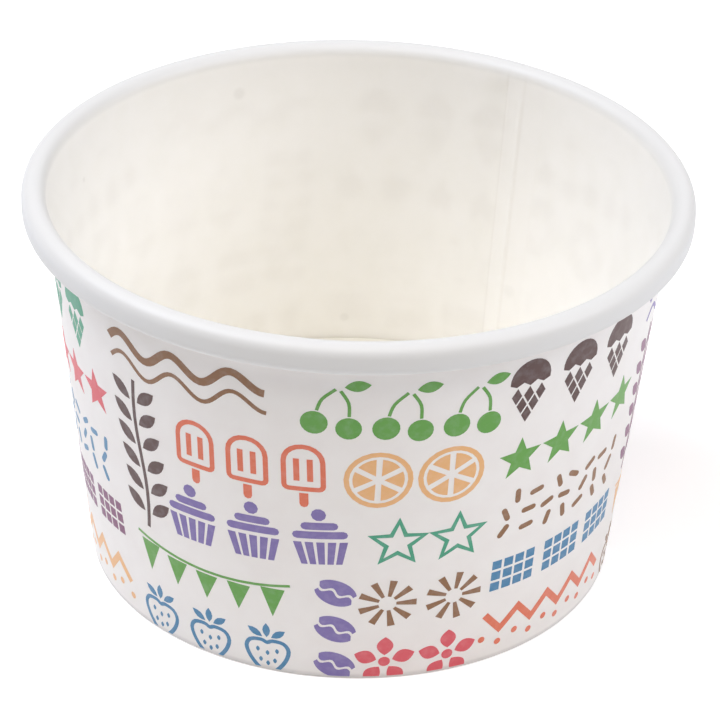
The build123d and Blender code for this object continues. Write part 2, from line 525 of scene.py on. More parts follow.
# Painted shade on the lining: a darker lapped band, a painted shadow line at the step of the inner edge
# and a fainter painted shade line at the pressed mark
# Colour, middle from the edge of the inner layer, half width and softness in degrees, strength
seam_shade_bands = (
    ("#DCCFC3", -lap_turn / 2, lap_turn / 2, 0.4, 0.03),
    ("#A89C8C", 0.16, 0.0, 0.55, 0.08),
    ("#BFB2A2", -3.75, 0.0, 0.6, 0.06),
)
for colour, middle, half, soft, strength in seam_shade_bands:
    middle = math.radians(seam_azimuth + middle)
    apart = add(tree, "ShaderNodeMath", {0: azimuth, 1: middle}, operation="SUBTRACT")
    apart = add(tree, "ShaderNodeMath", {0: apart}, operation="ABSOLUTE")
    none, full = math.radians(half + soft), math.radians(max(half - soft, 0))
    tone = lay_over(tree, tone, colour, apart, none, full, strength)

shade = add(tree, "ShaderNodeAttribute", attribute_name="show_through").outputs["Fac"]
tone = lay_over(tree, tone, "#B9AFA4", shade, 0.0, 1.0, 0.08)

# Azimuth, height, radius and strength of the spots, which are full over a core of their radius
spot_core = 0.4
spots = (
    (115.3, 53.0, 1.3, 0.12), (158.65, 49.9, 0.55, 0.13),
    (92.7, 14.3, 0.95, 0.11), (54.5, 23.5, 1.4, 0.06),
)
for at, height, radius, strength in spots:
    inner, turn = wall_at(height, -sheet / 2).x, math.radians(at)
    centre = Vector((inner * math.cos(turn), inner * math.sin(turn), height)) * MM
    away = add(tree, "ShaderNodeVectorMath", {0: where, 1: centre}, operation="DISTANCE")
    away = away.outputs["Value"]
    tone = lay_over(tree, tone, "#AFABA2", away, radius * MM, spot_core * radius * MM, strength)

# Painted shade: over the roll the lining is drawn a cooler, greyer white for the cool light that falls
# there
roll_shade_from, roll_shade_to = wall_start + wall_length - 0.6, wall_start + wall_length + 1.2
slant = add(tree, "ShaderNodeAttribute", attribute_name="board_slant").outputs["Fac"]
tone = lay_over(tree, tone, "#DFDFDC", slant, roll_shade_from * MM, roll_shade_to * MM)
tree.links.new(tone, inside_shader.inputs["Base Color"])

# Painted shade: the outside is drawn greyer along the pressed fold of the foot, where the fold turns
# under towards the floor
tree = outside_board.node_tree
slant = add(tree, "ShaderNodeAttribute", attribute_name="board_slant").outputs["Fac"]
none, full = wall_start + foot_shade_top, wall_start + lap_foot
foot_shade = lay_over(tree, outside_tone, "#B5B1AE", slant, none * MM, full * MM, 0.36)
tree.links.new(foot_shade, outside_shader.inputs["Base Color"])
print("lining has", len(inside_board.node_tree.nodes), "nodes and", len(spots), "spots")

# %% [markdown]
# ## The sidewall
# The main piece: the section wound once round the cup and over its own edge. The inside of the hem
# is knurled on the real cup, where a toothed wheel presses the hem, the skirt and the wall
# together, so the tree raises fine upright ridges there.

# %% Make the sidewall
# The climb fades out below the foot of the lap, and the lap ends inside the roll, short of its crest
lap_fade, lap_short = lap_foot, 1.6
lap_starts = wall_start + lap_foot
lap_ends = wall_start + wall_length - lap_short
knurl_depth, knurl_count = 0.15, 144.0
knurl_from, knurl_to = 0.6, hem_end - 0.4
sidewall = line_object("cup_sidewall", [(p.x * MM, 0, p.y * MM) for p in sidewall_section])
guide = line_object("sidewall_winding", sidewall_winding)
apply_tree(sidewall, wind, {
    "Winding": guide, "Sheet": sheet * MM,
    "Lap Starts": lap_starts * MM, "Lap Ends": lap_ends * MM, "Lap Fade": lap_fade * MM,
    "Ridge Depth": knurl_depth * MM, "Ridge Count": knurl_count,
    "Ridge Starts": knurl_from * MM, "Ridge Ends": knurl_to * MM,
    "Outside": outside_board, "Inside": inside_board, "Edge": cut_edge,
})
bpy.data.objects.remove(guide)
print("sidewall", len(sidewall.data.polygons), "faces, height", round(sidewall.dimensions.z / MM, 3))

# %% [markdown]
# ## The bottom disc
# A round blank drawn into a shallow upside-down tray. Its section is short: up the skirt, round
# the drawn corner and in to the middle of the floor. The same tree winds it once round, and welds
# the end of the turn to its start. The drawn corner keeps fine puckers below the floor, where the
# flat board had to gather.

# %% Make the bottom disc
skirt_offset = sheet / 2 + glue_line + floor_sheet / 2
corner_radius = floor_corner + floor_sheet / 2
floor_middle = floor_height - floor_sheet / 2
skirt_top = floor_middle - corner_radius - (corner_radius + skirt_offset) * math.sin(taper)

disc_pen = Pen(wall_at(sheet + skirt_clearance, -skirt_offset), quarter - taper)
disc_pen.run((wall_at(skirt_top, -skirt_offset) - disc_pen.points[0]).length, 8)
skirt_length = disc_pen.length
disc_pen.bend(corner_radius, quarter + taper, 8)
floor_radius = disc_pen.points[-1].x
disc_pen.run(floor_radius, 24)
disc_pen.points[-1].x = 0
bottom_disc = line_object("cup_bottom_disc", [(p.x * MM, 0, p.y * MM) for p in disc_pen.points])
guide = line_object("disc_winding", disc_winding)
pucker_depth = -0.08
pucker_from, pucker_to = skirt_length - 1.5, skirt_length + 0.6
# The disc has no lap, so the limits of one lie far beyond its section
apply_tree(bottom_disc, wind, {
    "Winding": guide, "Sheet": floor_sheet * MM,
    "Lap Starts": -1.0, "Lap Ends": 1.0, "Lap Fade": MM,
    "Ridge Depth": pucker_depth * MM, "Ridge Count": knurl_count,
    "Ridge Starts": pucker_from * MM, "Ridge Ends": pucker_to * MM,
    "Outside": disc_board, "Inside": disc_board, "Edge": cut_edge,
})
bpy.data.objects.remove(guide)
print("disc", len(bottom_disc.data.polygons), "faces, floor radius", round(floor_radius, 2))

# %% [markdown]
# ## The print: small sweets as flat shapes
# The outside of the cup is offset printed with groups of small one-colour drawings. Each drawing is
# a stamp made of two kinds of flat shape: a patch, which is a filled outline, and a ribbon, which is
# a line with a width. An image could hold them too, but shapes stay sharp at any distance and need
# no file. The parts of a stamp keep a small gap from each other, as in a stencil, so no two faces of
# ink lie on top of each other.

# %% Patches and ribbons
def circle(x, y, radius, points=14):
    """Outline of a round dot."""
    turns = [2 * math.pi * i / points for i in range(points)]
    return [(x + radius * math.cos(t), y + radius * math.sin(t)) for t in turns]


def arc(x, y, radius, start, end, points=8):
    """Points along part of a circle, from one angle in degrees to another."""
    turns = [math.radians(start + (end - start) * i / (points - 1)) for i in range(points)]
    return [(x + radius * math.cos(t), y + radius * math.sin(t)) for t in turns]


def moved(points, turn=0.0, x=0.0, y=0.0):
    """The same points turned by degrees about the origin, then shifted."""
    c, s = math.cos(math.radians(turn)), math.sin(math.radians(turn))
    return [(x + c * px - s * py, y + s * px + c * py) for px, py in points]


def petal(length, width, points=6):
    """Pointed leaf that lies along x from the origin."""
    shares = [i / points for i in range(points + 1)]
    top = [(length * t, width / 2 * math.sin(math.pi * t) ** 0.85) for t in shares]
    return top[::-1] + [(x, -y) for x, y in top[1:-1]]


def rounded(points, closed=False, steps=4):
    """Smooth line through the points, each span bent by its neighbours."""
    count = len(points)
    made = []
    for i in range(count if closed else count - 1):
        near = [i - 1, i, i + 1, i + 2]
        near = [k % count if closed else min(max(k, 0), count - 1) for k in near]
        a, b, c, d = (Vector(points[k]) for k in near)
        for t in (step / steps for step in range(steps)):
            bend = (2 * a - 5 * b + 4 * c - d) * t ** 2 + (3 * b - a - 3 * c + d) * t ** 3
            made.append(tuple(b + ((c - a) * t + bend) / 2))
    return made if closed else made + [points[-1]]


def ribbon(points, width, closed=False):
    """Quads of a line with a width, mitred where it turns."""
    count = len(points)
    sides = []
    for i, here in enumerate(points):
        back = points[i - 1] if i or closed else here
        ahead = points[(i + 1) % count] if closed or i < count - 1 else here
        a = Vector(here) - Vector(back)
        b = Vector(ahead) - Vector(here)
        a = (a if a.length else b).normalized()
        b = (b if b.length else a).normalized()
        along = (a + b).normalized()
        across = Vector((-along.y, along.x)) * width / 2 / max(along.dot(a), 0.5)
        sides.append((tuple(Vector(here) + across), tuple(Vector(here) - across)))
    pairs = zip(sides, sides[1:] + sides[:1] if closed else sides[1:])
    return [(left, right, next_right, next_left) for (left, right), (next_left, next_right) in pairs]


print("a leaf has", len(petal(5, 2)), "points")

# %% Stamps of sweets, in millimetres
stamps = {}

scoop = arc(0, 1.4, 3.3, -8, 188, 14) + [(-2.2, 0.5), (-1.1, 1.1), (0, 0.4), (1.1, 1.1), (2.2, 0.5)]
waffle = [((j - (2 - k) / 2) * 1.95, -1.1 - 1.65 * k) for k in range(3) for j in range(3 - k)]
diamonds = [[(x, y + 1.35), (x - 0.82, y), (x, y - 1.35), (x + 0.82, y)] for x, y in waffle]
stamps["cone"] = [scoop] + diamonds

left, right = arc(-0.1, 1.9, 2.5, 90, 180, 6), arc(0.1, 1.9, 2.5, 0, 90, 6)
outline = right + left + arc(-2.0, -1.9, 0.6, 180, 270, 4) + arc(2.0, -1.9, 0.6, 270, 360, 4)
bars = [[(x - 0.4, -1.2), (x + 0.4, -1.2), (x + 0.4, 2.4), (x - 0.4, 2.4)] for x in (-0.9, 0.9)]
stick = [(-0.6, -3.2), (-0.6, -4.9)] + arc(0, -4.9, 0.6, 180, 360, 5)[1:] + [(0.6, -3.2)]
stamps["ice_stick"] = ribbon(outline, 0.7, True) + bars + [stick]

bars, layers = [], []
for i in range(-2, 3):
    top, low = i * 1.55, i * 1.15
    bars.append([(low - 0.42, -4.4), (low + 0.42, -4.4), (top + 0.55, -0.7), (top - 0.55, -0.7)])
for y, half in ((0.5, 3.6), (2.0, 2.4)):
    layers.append(arc(half - 0.5, y, 0.6, -90, 90, 5) + arc(0.5 - half, y, 0.6, 90, 270, 5))
stamps["cupcake"] = bars + layers + [circle(0, 3.9, 1.0, 10)]

stamps["wafer"] = [
    [(x, y), (x + 1.5, y), (x + 1.5, y + 1.5), (x, y + 1.5)]
    for x in (-3.65, -1.7, 0.2, 2.15) for y in (-2.7, -0.75, 1.2)
]

chance = random.Random(7)
bar = arc(0.9, 0, 0.5, -90, 90, 5) + arc(-0.9, 0, 0.5, 90, 270, 5)
stamps["sprinkle"] = []
for x, y in [(x, y) for x in range(-12, 13, 4) for y in (-3.2, 0, 3.2)]:
    turn = chance.uniform(0, 180)
    across = x + (y > 1) * 1.4 + chance.uniform(-0.5, 0.5)
    stamps["sprinkle"].append(moved(bar, turn, across, y))
print("stamps of sweets", list(stamps))

# %% Stamps of fruit and leaves
left_stem = rounded([(-2.2, -0.7), (-1.6, 1.4), (0.2, 3.4)])
right_stem = rounded([(2.5, -1.2), (2.2, 1.2), (0.9, 3.2)])
fruit = [circle(-2.4, -2.9, 2.0, 20), circle(2.6, -3.3, 1.9, 20)]
leaf = moved(petal(3.8, 1.9, 9), 12, 1.4, 3.9)
stamps["cherry"] = fruit + [leaf] + ribbon(left_stem, 0.5) + ribbon(right_stem, 0.5)

wedge = arc(0, 0, 3.4, -23, 23, 5) + [(0.75, 0)]
stamps["citrus"] = ribbon(circle(0, 0, 4.2, 24), 0.7, True) + [moved(wedge, 60 * i) for i in range(6)]

side = [(0.9, 2.0), (2.6, 1.7), (3.3, 0.3), (2.7, -1.7), (1.3, -3.6)]
outline = rounded(side + [(0, -4.5)] + [(-x, y) for x, y in side[::-1]] + [(0, 1.6)], True, 3)
places = ((-1.5, -0.4), (1.5, -0.4), (0, -0.9), (0, -2.9), (-1.1, -2.3), (1.1, -2.3))
seeds = [moved(petal(1.0, 0.6, 4), 90, x, y) for x, y in places]
crown = [moved(petal(2.7, 1.2, 4), turn, x, 2.6) for turn, x in ((35, 0.7), (90, 0), (145, -0.7))]
stamps["berry"] = ribbon(outline, 0.65, True) + seeds + crown

groove = [(0.3 + 0.5 * math.sin(0.76 * k), 0.4 * k) for k in range(-8, 9)]
turns = [math.radians(degrees) for degrees in range(66, -67, -11)]
half = groove + [(2.75 * math.cos(turn), 3.9 * math.sin(turn)) for turn in turns]
stamps["bean"] = [moved(half, -25), moved([(-x, -y) for x, y in half], -25)]

leaf = moved(petal(3.5, 2.5, 9), 0, 1.25)
stamps["flower"] = [moved(leaf, 72 * i + 18) for i in range(5)] + [circle(0, 0, 0.9)]

stamps["sprig"] = ribbon([(x, 0.5 * math.sin(x / 4)) for x in range(-12, 13, 2)], 0.6)
for x in (-9.5 + 3.6 * i for i in range(6)):
    lift = 0.5 * math.sin(x / 4)
    for turn, gap in ((52, 0.7), (-52, -0.7)):
        stamps["sprig"].append(moved(petal(4.2, 1.9), turn, x, lift + gap))
print("stamps so far", len(stamps))

# %% Stamps of stars and borders
points = [moved([(0, 4.6)], 72 * i) + moved([(0, 2.0)], 72 * i + 36) for i in range(5)]
star = sum(points, [])
stamps["star"] = [star]
stamps["open_star"] = ribbon(star, 0.75, True)

spoke = [(1.4, -0.28), (4.6, -0.6), (4.6, 0.6), (1.4, 0.28)]
stamps["burst"] = [moved(spoke, 40 * i) for i in range(9)]

upper = [(x * 0.6 - 14, 1.6 + 1.5 * math.sin(x * 0.375)) for x in range(47)]
stamps["wave"] = ribbon(upper, 1.3) + ribbon([(x, y - 3.4) for x, y in upper], 0.7)

upper = [(3.1 * i - 14, 1.8 + 1.7 * (-1) ** i) for i in range(10)]
dots = [circle(3.1 * i - 14, -1.9 + 0.6 * (-1) ** i, 0.6, 12) for i in range(10)]
stamps["zigzag"] = ribbon(upper, 1.2) + dots

sag = 0.006
stamps["bunting"] = ribbon([(x, 3.1 + sag * x * x) for x in range(-15, 16, 3)], 0.5)
for x in (-12, -6, 0, 6, 12):
    top = 2.5 + sag * x * x
    stamps["bunting"].append([(x - 2.1, top), (x, -2.6), (x + 2.1, top)])
stamp_names = sorted(stamps)
print(len(stamps), "stamps")

# %% Stamps as flat meshes in a collection of their own
stamp_box = bpy.data.collections.new("stamps")
for name in stamp_names:
    shapes = bmesh.new()
    for outline in stamps[name]:
        face = shapes.faces.new([shapes.verts.new((x * MM, y * MM, 0)) for x, y in outline])
        face.normal_update()
        if face.normal.z < 0:
            face.normal_flip()
    bmesh.ops.remove_doubles(shapes, verts=shapes.verts, dist=weld)
    mesh = bpy.data.meshes.new(name)
    shapes.to_mesh(mesh)
    shapes.free()
    stamp_box.objects.link(bpy.data.objects.new(name, mesh))

# %% [markdown]
# ## Setting out the print on the flat blank
# The real print is laid on the flat blank before it is wrapped. A cone unrolls to a fan, so the
# blank is a piece of a large flat ring, and a group of stamps is placed on it by its azimuth on
# the cup and its distance up the wall. The drawing repeats three times round the cup, with the
# inks passed on by a few places at each repeat. A table holds the seventeen groups of one repeat.

# %% Inks and the table of groups
inks = {
    "coral": "#E2714E", "red": "#DD5560", "blue": "#3C7FA9", "teal": "#3D9E7B", "leaf": "#5C9E3C",
    "brown": "#8A603A", "cocoa": "#50332F", "peach": "#EDB679", "violet": "#7C6CAA", "plum": "#7C4069",
}
ink_names = list(inks)
repeats = 3
repeat_turn = 360 / repeats
ink_shift = 3
# Stamp, how many, how far apart, size, place along the repeat and up the wall, tilt, ink
groups = [
    ("cone", 3, 9.0, 1.0, 13.0, 47.5, 0, "coral"),
    ("wave", 1, 0, 0.95, 44.0, 48.0, 2, "blue"),
    ("cherry", 3, 9.8, 0.95, 74.5, 47.0, -3, "red"),
    ("star", 4, 7.2, 0.78, 15.0, 36.0, 3, "violet"),
    ("sprig", 1, 0, 1.05, 35.5, 31.0, 90, "teal"),
    ("ice_stick", 3, 8.0, 1.05, 53.5, 36.0, 0, "peach"),
    ("citrus", 2, 10.2, 1.05, 76.5, 35.5, 0, "leaf"),
    ("sprinkle", 1, 0, 0.9, 14.5, 25.5, -2, "plum"),
    ("cupcake", 3, 9.6, 1.05, 54.0, 24.6, 2, "brown"),
    ("open_star", 2, 8.6, 0.85, 79.0, 24.3, 0, "coral"),
    ("wafer", 3, 9.3, 1.0, 15.5, 15.5, 2, "cocoa"),
    ("bunting", 1, 0, 0.85, 46.0, 12.3, -2, "red"),
    ("bean", 3, 6.6, 0.8, 66.0, 8.8, 90, "brown"),
    ("burst", 2, 9.6, 0.9, 78.6, 13.5, 0, "blue"),
    ("zigzag", 1, 0, 0.92, 15.5, 4.8, 0, "leaf"),
    ("berry", 3, 9.0, 0.95, 46.0, 3.2, 0, "plum"),
    ("flower", 2, 9.2, 0.95, 78.5, 2.8, 0, "violet"),
]
print(len(groups) * repeats, "groups of print in", len(inks), "inks")

# %% Points of the stamps on the fan
fan_turn = math.sin(taper)
foot_point = wall_at(fold_top, sheet / 2)
fan_radius = foot_point.x / fan_turn
lap_edge = seam_azimuth - lap_turn
fan_middle = lap_edge + 180
middle_radius = wall_at(cup_height / 2, sheet / 2).x
first_gap = 6.0


def on_fan(azimuth, up):
    """Place on the flat blank and the way that is up there, for a place on the wall."""
    turn = math.radians(azimuth - fan_middle) * fan_turn
    ray = Vector((math.sin(turn), math.cos(turn)))
    return ray * (fan_radius + up), -turn


stamp_points = {name: [] for name in ink_names}
for repeat in range(repeats):
    for stamp, count, gap, size, along, up, tilt, ink in groups:
        past_lap = first_gap + repeat * repeat_turn + math.degrees(along / middle_radius)
        centre, upright = on_fan(past_lap % 360 + lap_edge, up)
        angle = upright + math.radians(tilt)
        ink_name = ink_names[(ink_names.index(ink) + repeat * ink_shift) % len(ink_names)]
        for i in range(count):
            step = Vector((math.cos(angle), math.sin(angle))) * gap * (i - (count - 1) / 2)
            stamp_points[ink_name].append((centre + step, stamp_names.index(stamp), angle, size))
print({name: len(points) for name, points in stamp_points.items()})

# %% [markdown]
# ## Two trees for the print
# The first tree puts a stamp on every point of the fan, cuts the shapes into small faces so that
# they can bend, and unrolls the fan to a plain strip: azimuth across, distance up the wall. On the
# strip the print is trimmed with straight cuts at the foot, under the roll and at the free edge of
# the lap, as the die trims the blank. The second tree wraps the strip round the wall and gives the
# ink a film thickness, thinner than a hair, so it can't fight with the board for the same place.

# %% Tree that sets out the stamps
strip_radius, bend_cuts = 50 * MM, 2
set_out, given = start_tree("set_out_print", {
    "Points": "Geometry", "Stamps": "Collection", "Fan Radius": "Float", "Fan Turn": "Float",
    "Fan Middle": "Float", "Strip Radius": "Float", "Ink": "Material",
})
read = {}
for name, kind in (("stamp", "INT"), ("angle", "FLOAT"), ("size", "FLOAT")):
    read[name] = add(set_out, "GeometryNodeInputNamedAttribute", {"Name": name}, data_type=kind)
picked = {"Collection": given["Stamps"], "Separate Children": True, "Reset Children": True}
picked = add(set_out, "GeometryNodeCollectionInfo", picked)
spin = add(set_out, "ShaderNodeCombineXYZ", {"Z": read["angle"]})
spin = add(set_out, "FunctionNodeEulerToRotation", {0: spin})
stamped = add(set_out, "GeometryNodeInstanceOnPoints", {
    "Points": given["Points"], "Instance": picked, "Pick Instance": True, "Instance Index": read["stamp"],
    "Rotation": spin, "Scale": read["size"],
})
flat = add(set_out, "GeometryNodeRealizeInstances", {"Geometry": stamped})
flat = add(set_out, "GeometryNodeTriangulate", {"Mesh": flat})
flat = add(set_out, "GeometryNodeSubdivideMesh", {"Mesh": flat, "Level": bend_cuts})
position = add(set_out, "GeometryNodeInputPosition")
spot = add(set_out, "ShaderNodeSeparateXYZ", {0: position}).outputs
radius = add(set_out, "ShaderNodeVectorMath", {0: position}, operation="LENGTH").outputs["Value"]
up = add(set_out, "ShaderNodeMath", {0: radius, 1: given["Fan Radius"]}, operation="SUBTRACT")
# The angle on the fan becomes an azimuth on the cup, and that a distance along the strip
across = add(set_out, "ShaderNodeMath", {0: spot["X"], 1: spot["Y"]}, operation="ARCTAN2")
for name, step in (("Fan Turn", "DIVIDE"), ("Fan Middle", "ADD"), ("Strip Radius", "MULTIPLY")):
    across = add(set_out, "ShaderNodeMath", {0: across, 1: given[name]}, operation=step)
strip = add(set_out, "ShaderNodeCombineXYZ", {"X": across, "Y": up})
unrolled = add(set_out, "GeometryNodeSetPosition", {"Geometry": flat, "Position": strip})
real = add(set_out, "GeometryNodeRealizeInstances", {"Geometry": unrolled})
dressed = add(set_out, "GeometryNodeSetMaterial", {"Geometry": real, "Material": given["Ink"]})
add(set_out, "NodeGroupOutput", {0: dressed})
print("setting-out tree has", len(set_out.nodes), "nodes")

# %% Tree that wraps the strip round the wall
wrap, given = start_tree("wrap_print", {
    "Strip": "Geometry", "Strip Radius": "Float", "Foot Radius": "Float", "Foot Height": "Float",
    "Taper": "Float", "Climb From": "Float", "Climb To": "Float", "Climb": "Float",
    "Sink": "Float", "Film": "Float", "Ink": "Material",
})
spot = add(wrap, "ShaderNodeSeparateXYZ", {0: add(wrap, "GeometryNodeInputPosition")}).outputs
azimuth = add(wrap, "ShaderNodeMath", {0: spot["X"], 1: given["Strip Radius"]}, operation="DIVIDE")
share = {"Value": azimuth, "From Min": given["Climb From"], "From Max": given["Climb To"]}
share = add(wrap, "ShaderNodeMapRange", share, interpolation_type="SMOOTHSTEP")
out = share
for name, step in (("Climb", "MULTIPLY"), ("Sink", "SUBTRACT")):
    out = add(wrap, "ShaderNodeMath", {0: out, 1: given[name]}, operation=step)
local = add(wrap, "ShaderNodeCombineXYZ", {"X": out, "Z": spot["Y"]})
# Leaning the upright strip about the tangent turns its height into the slant of the wall
lean = {"Vector": local, "Angle": given["Taper"]}
lean = add(wrap, "ShaderNodeVectorRotate", lean, rotation_type="Y_AXIS")
foot = add(wrap, "ShaderNodeCombineXYZ", {"X": given["Foot Radius"], "Z": given["Foot Height"]})
upright = add(wrap, "ShaderNodeVectorMath", {0: lean, 1: foot}, operation="ADD")
round_cup = {"Vector": upright, "Angle": azimuth}
round_cup = add(wrap, "ShaderNodeVectorRotate", round_cup, rotation_type="Z_AXIS")
square = {"Vector": (1, 0, 0), "Angle": given["Taper"]}
square = add(wrap, "ShaderNodeVectorRotate", square, rotation_type="Y_AXIS")
square = {"Vector": square, "Angle": azimuth}
square = add(wrap, "ShaderNodeVectorRotate", square, rotation_type="Z_AXIS")
keep = {"Geometry": given["Strip"], "Name": "ink_normal", "Value": square}
keep = add(wrap, "GeometryNodeStoreNamedAttribute", keep, data_type="FLOAT_VECTOR", domain="POINT")
normal = {"Name": "ink_normal"}
normal = add(wrap, "GeometryNodeInputNamedAttribute", normal, data_type="FLOAT_VECTOR")
wrapped = add(wrap, "GeometryNodeSetPosition", {"Geometry": keep, "Position": round_cup})
under = add(wrap, "GeometryNodeFlipFaces", {0: wrapped})
closed = thicken(wrap, wrapped, under, normal, given["Film"])[0]
clean = add(wrap, "GeometryNodeRemoveAttribute", {"Geometry": closed, "Name": "ink_normal"})
real = add(wrap, "GeometryNodeRealizeInstances", {"Geometry": clean})
dressed = add(wrap, "GeometryNodeSetMaterial", {"Geometry": real, "Material": given["Ink"]})
add(wrap, "NodeGroupOutput", {0: dressed})
print("wrapping tree has", len(wrap.nodes), "nodes")

# %% [markdown]
# ## Offset ink
# Offset ink is a film of pigment a few thousandths of a millimetre thick under the same satin
# varnish as the board around it. It covers unevenly on fibre, so each ink is a shade lighter
# where it lies thin, in clouds about a millimetre wide.

# %% Ink materials
cloud_width = 1.2


def ink_material(name, colour):
    """Satin printing ink that lies a little thinner on some fibres than on others."""
    material, tree = start_material("offset_ink_" + name)
    where = add(tree, "ShaderNodeTexCoord").outputs["Object"]
    cover = {"Vector": where, "Scale": 1 / (cloud_width * MM), "Detail": 3.0}
    cover = add(tree, "ShaderNodeTexNoise", cover)
    thin = {"Value": cover, "From Min": 0.45, "From Max": 0.8, "To Max": 0.16}
    thin = add(tree, "ShaderNodeMapRange", thin)
    full = linear(colour)
    pale = [c + (1 - c) * 0.5 for c in full[:3]] + [1]
    tone = {"Factor": thin, 6: full, 7: pale}
    tone = add(tree, "ShaderNodeMix", tone, data_type="RGBA").outputs[2]
    shader = {"Base Color": tone, "Roughness": 0.4, "IOR": film_ior}
    shader = add(tree, "ShaderNodeBsdfPrincipled", shader)
    add(tree, "ShaderNodeOutputMaterial", {"Surface": shader})
    return material


ink_materials = {name: ink_material(name, colour) for name, colour in inks.items()}
print("inks", len(ink_materials))

# %% Print every ink
cut_tolerance = 1e-7


def trim(mesh, cuts):
    """Cut a flat mesh with straight lines and drop what lies beyond each."""
    flat = bmesh.new()
    flat.from_mesh(mesh)
    for point, away in cuts:
        everything = flat.verts[:] + flat.edges[:] + flat.faces[:]
        bmesh.ops.bisect_plane(
            flat, geom=everything, dist=cut_tolerance,
            plane_co=point, plane_no=away, clear_outer=True)
    flat.to_mesh(mesh)
    flat.free()


print_margin, under_roll = 0.05, 0.9
print_low = lap_foot + print_margin
print_high = (cup_height - bead_height + under_roll - fold_top) / math.cos(taper)
strip_left = math.radians(lap_edge) * strip_radius
strip_right = strip_left + 2 * math.pi * strip_radius
cuts = [
    ((0, print_low * MM, 0), (0, -1, 0)), ((0, print_high * MM, 0), (0, 1, 0)),
    ((strip_left + print_margin * MM, 0, 0), (-1, 0, 0)),
    ((strip_right - print_margin * MM, 0, 0), (1, 0, 0)),
]
ink_sink, ink_film = 0.01, 0.035
prints = []
for name in ink_names:
    mesh = bpy.data.meshes.new("print_" + name)
    mesh.from_pydata([(p.x * MM, p.y * MM, 0) for p, _, _, _ in stamp_points[name]], [], [])
    for attribute, kind, column in (("stamp", "INT", 1), ("angle", "FLOAT", 2), ("size", "FLOAT", 3)):
        values = [point[column] for point in stamp_points[name]]
        mesh.attributes.new(attribute, kind, "POINT").data.foreach_set("value", values)
    piece = place("print_" + name, mesh)
    flat = apply_tree(piece, set_out, {
        "Stamps": stamp_box, "Fan Radius": fan_radius * MM, "Fan Turn": fan_turn,
        "Fan Middle": math.radians(fan_middle), "Strip Radius": strip_radius,
        "Ink": ink_materials[name],
    })
    trim(flat, cuts)
    apply_tree(piece, wrap, {
        "Strip Radius": strip_radius, "Foot Radius": foot_point.x * MM, "Foot Height": foot_point.y * MM,
        "Taper": taper, "Climb From": math.radians(seam_azimuth + climb_turn),
        "Climb To": math.radians(seam_azimuth), "Climb": (sheet + lap_gap) * MM,
        "Sink": ink_sink * MM, "Film": ink_film * MM, "Ink": ink_materials[name],
    })
    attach(piece, "root")
    prints.append(piece)
for stamp in list(stamp_box.objects):
    bpy.data.objects.remove(stamp)
bpy.data.collections.remove(stamp_box)
print("print faces", {p.name: len(p.data.polygons) for p in prints})

# %% [markdown]
# ## Print that shows through the board
# Board this thin lets some light through, so from inside the print is seen as a faint mirrored
# shade. Painting it would drift from the print, so a tree asks the model: from each point of the
# sheet and from a few places beside it, rays go out through the board, and the point is marked by
# the share of them that meets ink. That spreads the marks sideways, and a blur softens them along
# the wall too, because light scatters between the fibres.

# %% Mark the lining where ink lies behind it
see, given = start_tree("mark_show_through", {
    "Sheet": "Geometry", "Print": "Collection", "Reach": "Float", "Scatter": "Int", "Lining": "Material",
})
ink_layer = add(see, "GeometryNodeCollectionInfo", {"Collection": given["Print"]})
ink_layer = add(see, "GeometryNodeRealizeInstances", {"Geometry": ink_layer})
position = add(see, "GeometryNodeInputPosition")
outwards = {"Name": "board_normal"}
outwards = add(see, "GeometryNodeInputNamedAttribute", outwards, data_type="FLOAT_VECTOR")
sideways = add(see, "ShaderNodeVectorMath", {0: outwards, 1: (0, 0, 1)}, operation="CROSS_PRODUCT")
# Places beside the point, in millimetres, where rays start
ray_places = (-0.7, -0.35, 0.0, 0.35, 0.7)
met = 0.0
for beside in ray_places:
    start = add(see, "ShaderNodeVectorMath", {0: sideways, "Scale": beside * MM}, operation="SCALE")
    start = add(see, "ShaderNodeVectorMath", {0: start, 1: position}, operation="ADD")
    ray = {"Source Position": start, "Ray Direction": outwards, "Ray Length": given["Reach"]}
    ray = add(see, "GeometryNodeRaycast", {"Target Geometry": ink_layer, **ray})
    met = add(see, "ShaderNodeMath", {0: ray.outputs["Is Hit"], 1: met}, operation="ADD")
share = add(see, "ShaderNodeMath", {0: met, 1: len(ray_places)}, operation="DIVIDE")
soft = {"Value": share, "Iterations": given["Scatter"]}
soft = add(see, "GeometryNodeBlurAttribute", soft, data_type="FLOAT")
marked = {"Geometry": given["Sheet"], "Name": "show_through", "Value": soft}
marked = add(see, "GeometryNodeStoreNamedAttribute", marked, data_type="FLOAT", domain="POINT")
real = add(see, "GeometryNodeRealizeInstances", {"Geometry": marked})
lining = add(see, "GeometryNodeMaterialSelection", {"Material": given["Lining"]})
dressed = {"Geometry": real, "Selection": lining, "Material": given["Lining"]}
add(see, "NodeGroupOutput", {0: add(see, "GeometryNodeSetMaterial", dressed)})

ink_box = bpy.data.collections.new("ink_layer")
for piece in prints:
    ink_box.objects.link(piece)
apply_tree(sidewall, see, {
    "Print": ink_box, "Reach": 3 * sheet * MM, "Scatter": 1, "Lining": inside_board,
})
bpy.data.collections.remove(ink_box)
marks = [point.value for point in sidewall.data.attributes["show_through"].data]
print("ink lies behind", round(100 * sum(marks) / len(marks)), "percent of the points")

# %% [markdown]
# ## Hand the pieces to the frame
# Every piece rides on the imported body and stands for its CAD node, which is hidden.

# %% Ride and replace
for piece, node, slot in (
    (sidewall, "sidewall", "printed_board"),
    (bottom_disc, "bottom_disc", "disc_board"),
):
    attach(piece, "root")
    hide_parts(node)
print("pieces", sidewall.name, bottom_disc.name)

# %% [markdown]
# ## Floor, background and light
# The photograph is a product shot on white, lit softly from both sides and from above the front,
# with a weak light behind on the left. Soft squares of light stand for the studio's softboxes. The
# floor and the background are white to the camera, in a gloss and through glass only, by Light
# Path, so that they send no more light on to the cup than a pale table would, and the floor keeps
# the soft shadow under the cup.

